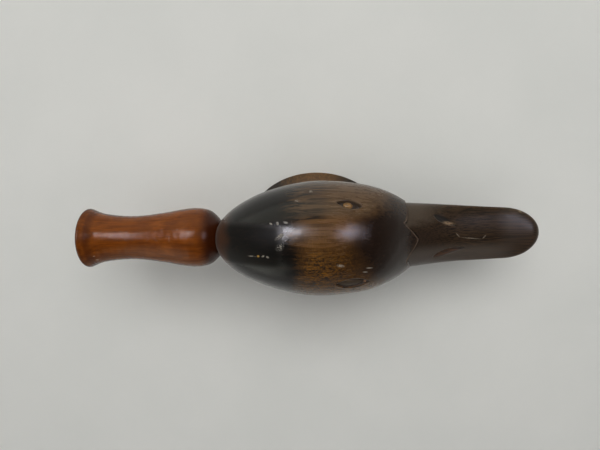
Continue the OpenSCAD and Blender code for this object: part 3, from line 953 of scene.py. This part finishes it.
def mouthpiece_wood():
    w = Wood("mouthpiece_wood")
    streak = w.noise((0.045, 1.0, 1.0), 5, 0.6, distort=0.4)
    fine = w.noise((0.22, 4.2, 4.2), 4, 0.65)
    cloud = w.noise((0.09, 0.12, 0.12), 3, 0.5, move=(7, 2, 3))
    figure = w.rings(2.4, (0, 6, -30), 7.0, 0.6, 0.15)
    colour = w.blend(w.ramp(streak, 0.32, 0.68), (0.165, 0.046, 0.0035), (0.265, 0.076, 0.006))
    colour = w.blend(w.mul(w.ramp(figure, 0.35, 0.8), 0.25), colour, (0.30, 0.095, 0.011))
    colour = w.blend(w.mul(w.ramp(cloud, 0.48, 0.68), 0.45), colour, (0.135, 0.038, 0.007))
    # Painted shadow of the head, darker towards the head end; the lip end is darker too
    colour = w.blend(w.mul(w.ramp(w.x, -50.0, -44.5), 0.9), colour, (0.042, 0.008, 0.0018))
    colour = w.blend(w.mul(w.ramp(w.x, -97.6, -101.0), 0.6), colour, (0.060, 0.015, 0.004))
    # Painted shade in the shallow turned line behind the lip
    groove_shade = w.mul(w.ramp(w.x, -98.2, -97.0), w.ramp(w.x, -94.0, -96.2))
    colour = w.blend(w.mul(groove_shade, 0.5), colour, (0.070, 0.017, 0.004))
    pore = w.ramp(fine, 0.60, 0.72)
    colour = w.blend(w.mul(pore, 0.4), colour, (0.050, 0.013, 0.003))
    grit = w.noise((2.0, 2.0, 2.0), 4, 0.7, move=(1, 4, 9))
    chips = w.most(w.spot((-94.6, -6.6, 55), (0.7, 0.45, 3)), w.spot((-94.3, -8.6, 54), (0.9, 0.5, 3)))
    chips = w.mul(chips, w.ramp(grit, 0.36, 0.5))
    colour = w.blend(w.mul(chips, 0.85), colour, (0.55, 0.36, 0.22))
    raw = w.most(w.ramp(w.x, -40.4, -40.0), w.mul(w.ramp(w.mark("bore"), 0.4, 0.6), 0.9))
    bare = w.blend(w.ramp(streak, 0.3, 0.7), (0.24, 0.13, 0.06), (0.36, 0.21, 0.11))
    colour = w.blend(raw, colour, bare)
    turned_line = w.wave({"wave_type": "BANDS", "bands_direction": "X"},
                         w.stretched((1, 0.02, 0.02)), 0.55, 1.2, 2.0)
    height = w.add(w.mul(turned_line, 0.18), w.add(w.mul(streak, 0.5), w.mul(pore, -0.6)))
    height = w.add(w.mul(fine, 0.9), height)
    rough = w.add(w.ramp(fine, 0.3, 0.7, 0.15, 0.22), w.mul(raw, 0.35))
    return w.finish(colour, rough, height, 0.055, 1.0, Specular_IOR_Level=0.34)


def eye_wood():
    w = Wood("eye_wood")
    streak = w.noise((0.6, 2.5, 2.5), 4, 0.6)
    fine = w.noise((2.0, 6.0, 6.0), 3, 0.6)
    colour = w.blend(w.ramp(streak, 0.35, 0.65), (0.17, 0.085, 0.026), (0.44, 0.26, 0.095))
    # The right eye's bead is darker and greyer below: painted shade and a grey sheen
    painted_shade_and_sheen = w.mul(w.ramp(w.y, 0.0, -1.0), w.ramp(w.add(w.z, w.mul(w.x, 0.16)), 69.6, 68.6))
    colour = w.blend(w.mul(painted_shade_and_sheen, 0.9), colour, (0.062, 0.048, 0.036))
    colour = w.blend(w.mul(w.ramp(fine, 0.56, 0.7), 0.7), colour, (0.022, 0.010, 0.004))
    return w.finish(colour, w.ramp(fine, 0.3, 0.7, 0.28, 0.42), fine, 0.04, 0.8)


def block_wood():
    w = Wood("block_wood")
    streak = w.noise((1.4, 1.4, 0.06), 5, 0.6, move=(4, 0, 0))
    fine = w.noise((4.5, 4.5, 0.2), 4, 0.65)
    colour = w.blend(w.ramp(streak, 0.34, 0.66), (0.10, 0.042, 0.014), (0.23, 0.11, 0.042))
    colour = w.blend(w.mul(w.ramp(fine, 0.58, 0.72), 0.6), colour, (0.045, 0.02, 0.008))
    return w.finish(colour, w.ramp(streak, 0.3, 0.7, 0.34, 0.48), w.add(fine, w.mul(streak, 0.5)), 0.05, 1.0,
                    Coat_Weight=0.15, Coat_Roughness=0.2)


def plug_wood():
    w = Wood("plug_wood")
    ring = w.rings(1.3, (0, 20, 0), 4.0, 0.8, 0.1)
    streak = w.noise((0.05, 1.3, 1.3), 5, 0.6)
    fine = w.noise((0.3, 5.0, 5.0), 4, 0.65)
    figure = w.add(w.mul(ring, 0.35), streak)
    colour = w.blend(w.ramp(figure, 0.4, 0.9), (0.070, 0.036, 0.016), (0.21, 0.125, 0.060))
    colour = w.blend(w.mul(w.ramp(fine, 0.58, 0.72), 0.6), colour, (0.03, 0.016, 0.008))
    rub = w.mul(w.ramp(w.noise((0.12, 0.12, 0.3), 4, 0.6), 0.5, 0.64), w.ramp(w.z, 0.3, 0.0))
    colour = w.blend(w.mul(rub, 0.5), colour, (0.33, 0.24, 0.15))
    return w.finish(colour, w.ramp(streak, 0.3, 0.7, 0.5, 0.68), w.add(fine, w.mul(ring, 0.4)), 0.06)


def dowel_wood():
    w = Wood("dowel_wood")
    streak = w.noise((0.08, 2.2, 2.2), 5, 0.6)
    colour = w.blend(w.ramp(streak, 0.34, 0.66), (0.52, 0.36, 0.19), (0.70, 0.54, 0.33))
    return w.finish(colour, 0.62, streak, 0.05)


def cork_matter():
    w = Wood("cork")
    cell = w.node("ShaderNodeTexVoronoi", Vector=w.stretched((1.5, 1.5, 1.5)), Scale=1.0).outputs["Distance"]
    speck = w.noise((1.1, 1.1, 1.1), 5, 0.7, distort=0.6)
    colour = w.blend(w.ramp(speck, 0.36, 0.66), (0.24, 0.125, 0.055), (0.60, 0.40, 0.22))
    colour = w.blend(w.ramp(speck, 0.66, 0.74), colour, (0.09, 0.045, 0.02))
    return w.finish(colour, w.ramp(speck, 0.3, 0.7, 0.72, 0.9), w.add(cell, speck), 0.12)


def put_on(obj, material, body, slot_name, *nodes):
    obj.data.materials.clear()
    obj.data.materials.append(material)
    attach(obj, body)
    if nodes:
        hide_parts(*nodes)


eyes = eye_wood()
put_on(head, head_wood(), "instrument", "head_wood", "head")
put_on(neck, neck_wood(), "instrument", "neck_wood", "neck")
put_on(bill, bill_wood(), "instrument", "bill_wood", "bill")
put_on(eye_left, eyes, "instrument", "eye_wood", "eye_left")
put_on(eye_right, eyes, "instrument", "eye_wood", "eye_right")
put_on(base_plug, plug_wood(), "instrument", "plug_wood", "base_plug")
put_on(fitting, block_wood(), "instrument", "block_wood", "windway_block")
put_on(mouthpiece, mouthpiece_wood(), "mouthpiece", "mouthpiece_wood", "mouthpiece")
put_on(cork, cork_matter(), "cork_ring", "cork", "tenon_cork")
dowel_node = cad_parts["bill_dowels"]
dowel_node.data.materials.clear()
dowel_node.data.materials.append(dowel_wood())


# ---------------------------------------------------------------- floor and light

def make_floor():
    reach = 3000
    corners = [(-reach, -reach, 0), (reach, -reach, 0), (reach, reach, 0), (-reach, reach, 0)]
    floor = add_object("floor", corners, [(0, 1, 2, 3)])
    w = Wood("paper")
    tone = w.noise((0.012, 0.012, 0.012), 4, 0.5)
    grain = w.noise((1.6, 1.6, 1.6), 3, 0.6)
    colour = w.blend(w.ramp(tone, 0.3, 0.7), (0.775, 0.78, 0.755), (0.81, 0.81, 0.785))
    colour = w.blend(w.mul(w.ramp(grain, 0.55, 0.75), 0.06), colour, (0.55, 0.55, 0.53))
    floor.data.materials.append(w.finish(colour, 0.75, grain, 0.05, 0.4, Specular_IOR_Level=0.2))


def make_light(name, place, size, power, colour, aim=(0, 0, 0.04)):
    data = bpy.data.lights.new(name, "AREA")
    data.shape = "RECTANGLE"
    data.size, data.size_y = size
    data.energy = power
    data.color = colour
    light = bpy.data.objects.new(name, data)
    bpy.context.scene.collection.objects.link(light)
    light.location = place
    light.rotation_mode = "QUATERNION"
    light.rotation_quaternion = (Vector(place) - Vector(aim)).to_track_quat("Z", "Y")
    return light


def make_world():
    world = bpy.data.worlds.new("world")
    bpy.context.scene.world = world
    world.use_nodes = True
    tree = world.node_tree
    back = tree.nodes["Background"]
    coords = tree.nodes.new("ShaderNodeTexCoord")
    split = tree.nodes.new("ShaderNodeSeparateXYZ")
    tree.links.new(coords.outputs["Generated"], split.inputs[0])
    ramp = tree.nodes.new("ShaderNodeValToRGB")
    tree.links.new(split.outputs["Z"], ramp.inputs[0])
    # Dim walls and a dimmer ceiling, so that the floor gives the edges their sheen
    keys = ramp.color_ramp.elements
    keys[0].position, keys[0].color = 0.0, (0.38, 0.38, 0.375, 1)
    keys[1].position, keys[1].color = 1.0, (0.04, 0.04, 0.042, 1)
    for height, level in ((0.2, 0.28), (0.45, 0.15), (0.70, 0.08)):
        keys.new(height).color = (level, level, level, 1)
    tree.links.new(ramp.outputs[0], back.inputs["Color"])
    # Lighter behind the mouthpiece than before the bill
    sides = []
    for low, high, start, end in ((-0.85, -0.1, 1.3, 1.0), (0.1, 0.8, 1.0, 0.35)):
        side = tree.nodes.new("ShaderNodeMapRange")
        side.interpolation_type = "SMOOTHSTEP"
        for key, value in (("From Min", low), ("From Max", high), ("To Min", start), ("To Max", end)):
            side.inputs[key].default_value = value
        tree.links.new(split.outputs["X"], side.inputs["Value"])
        sides.append(side.outputs[0])
    level = tree.nodes.new("ShaderNodeMath")
    level.operation = "MULTIPLY"
    tree.links.new(sides[0], level.inputs[0])
    tree.links.new(sides[1], level.inputs[1])
    tree.links.new(level.outputs[0], back.inputs["Strength"])


make_floor()
make_world()
panels = [
    make_light("panel_left", (-0.43, 0.27, 1.0), (0.46, 0.07), 2.4, (0.97, 0.94, 1.0)),
    make_light("panel_right", (0.66, 0.27, 1.0), (0.40, 0.08), 2.3, (0.82, 0.82, 1.0)),
    # A slim strip that runs along the mouthpiece in its polish
    make_light("panel_mouthpiece", (-0.42, 0.46, 1.0), (0.05, 0.36), 2.8, (0.92, 0.92, 1.0), (0.3, 0.46, 0)),
    # Pale walls beyond the left cheek and behind the nape, which end in a soft haze beside the crown
    make_light("wall_far", (-0.2, 1.5, 0.8), (3.4, 1.4), 7.4, (0.98, 1.0, 0.87), (-0.2, 0, 0.8)),
    make_light("wall_back", (-1.5, 0.0, 0.5), (3.0, 0.9), 1.8, (0.98, 1.0, 0.87), (0, 0, 0.5)),
    make_light("wall_near", (-1.3, -1.3, 0.85), (1.6, 1.6), 5.5, (0.98, 1.0, 0.87), (0, 0, 0.85))
]
for panel in panels:
    panel.visible_diffuse = False
for fill in (
    make_light("softbox", (0.0, 0.5, 0.95), (1.0, 0.6), 4.4, (1.0, 0.995, 0.97)),
    make_light("ceiling", (0.0, 0.3, 1.6), (3.0, 3.0), 15.0, (1.0, 1.0, 0.99))
):
    fill.visible_glossy = False
view = bpy.context.scene.view_settings
view.view_transform = "Standard"
view.look = "None"
view.exposure = 0.24
view.gamma = 0.85
